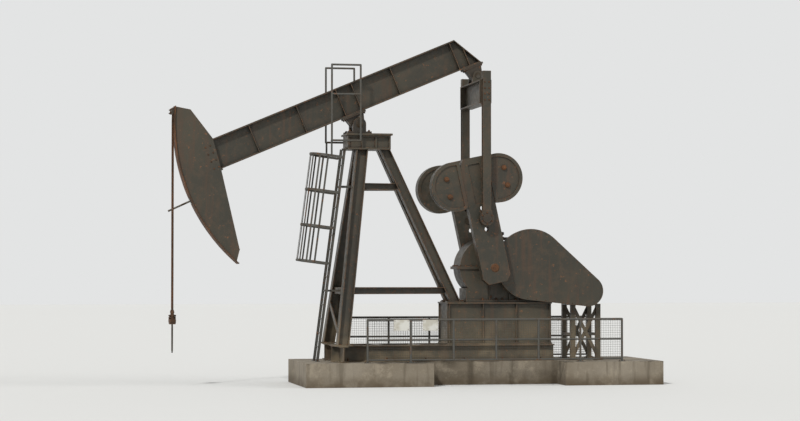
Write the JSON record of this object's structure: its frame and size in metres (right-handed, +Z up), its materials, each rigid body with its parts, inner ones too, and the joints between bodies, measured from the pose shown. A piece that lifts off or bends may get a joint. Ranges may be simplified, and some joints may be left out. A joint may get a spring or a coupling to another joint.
{
  "type": "pumpjack",
  "caption": "Conventional beam pumping unit on its concrete block, with crank counterweights, belt drive, motor, caged ladder and bridle.",
  "frame": {"origin": "on the ground under the centre bearing, in the middle of the unit", "axes": "+X level from the well towards the motor, +Y to the far side, +Z up"},
  "size_m": [10.4531, 2.64, 7.4081],
  "materials": {
    "weathered_paint": "matte",
    "cast_iron": "matte",
    "bare_steel": "satin",
    "rusty_steel": "matte",
    "galvanised_steel": "matte",
    "concrete": "matte",
    "belt_rubber": "matte",
    "white_plate": "satin",
    "motor_paint": "satin"
  },
  "bodies": {
    "foundation": {"foundation": "concrete", "skid_rails": "weathered_paint", "skid_cross_members": "weathered_paint", "front_leg_near": "weathered_paint", "front_leg_far": "weathered_paint", "rear_struts": "weathered_paint", "post_braces": "weathered_paint", "post_cap": "weathered_paint", "centre_bearings": "cast_iron", "gearbox_pedestal": "weathered_paint", "gearbox_base": "weathered_paint", "gearbox_cover": "weathered_paint", "gearbox_bearing_caps": "cast_iron", "input_shaft": "bare_steel", "large_sheave": "cast_iron", "brake_drum": "cast_iron", "drive_belts": "belt_rubber", "belt_guard": "weathered_paint", "belt_guard_brackets": "weathered_paint", "motor_stand": "weathered_paint", "motor": "motor_paint", "motor_sheave": "cast_iron", "ladder": "galvanised_steel", "ladder_cage": "galvanised_steel", "ladder_top_rail": "galvanised_steel", "crank_guard_near": "galvanised_steel", "crank_guard_far": "galvanised_steel", "sign_plates": "white_plate", "bridle_ropes": "rusty_steel"},
    "walking_beam": {"walking_beam": "weathered_paint", "beam_saddle": "cast_iron", "centre_shaft": "bare_steel", "tail_bearing": "cast_iron", "horsehead_sides": "weathered_paint", "horsehead_face": "rusty_steel", "horsehead_ribs": "weathered_paint", "rope_guide_arm": "bare_steel", "rope_anchors": "cast_iron"},
    "equalizer": {"equalizer_beam": "weathered_paint", "tail_shaft": "bare_steel", "pitman_near": "weathered_paint", "pitman_far": "weathered_paint", "wrist_bearings": "cast_iron"},
    "cranks": {"crankshaft": "bare_steel", "crank_near": "weathered_paint", "crank_far": "weathered_paint", "counterweights_near": "weathered_paint", "counterweights_far": "weathered_paint", "wrist_pins": "bare_steel"},
    "carrier": {"rope_sockets": "rusty_steel", "carrier_bar": "rusty_steel", "polished_rod": "bare_steel", "rod_clamp": "rusty_steel"}
  },
  "joints": [
    {"name": "crank_turn", "type": "hinge", "parent": "foundation", "child": "cranks", "pos_m": [2.82, 0, 2.49], "axis": [0, 1, 0], "range_deg": [0, 186.6]},
    {"name": "beam_rock", "type": "hinge", "parent": "foundation", "child": "walking_beam", "pos_m": [0, 0, 5.55], "axis": [0, 1, 0], "range_deg": [0, 44.16]},
    {"name": "equalizer_swing", "type": "hinge", "parent": "walking_beam", "child": "equalizer", "pos_m": [2.59889, 0, 6.64461], "axis": [0, 1, 0], "range_deg": [-49.58, 0]},
    {"name": "carrier_lift", "type": "slide", "parent": "foundation", "child": "carrier", "axis": [0, 0, 1], "range_m": [0, 3.0453], "deforming": ["bridle_ropes"]}
  ],
  "couplings": [
    {"joint": "beam_rock", "follows": "crank_turn", "ratio": 0.23665},
    {"joint": "equalizer_swing", "follows": "crank_turn", "ratio": -0.26572},
    {"joint": "carrier_lift", "follows": "crank_turn", "m_per_rad": 0.93506}
  ]
}
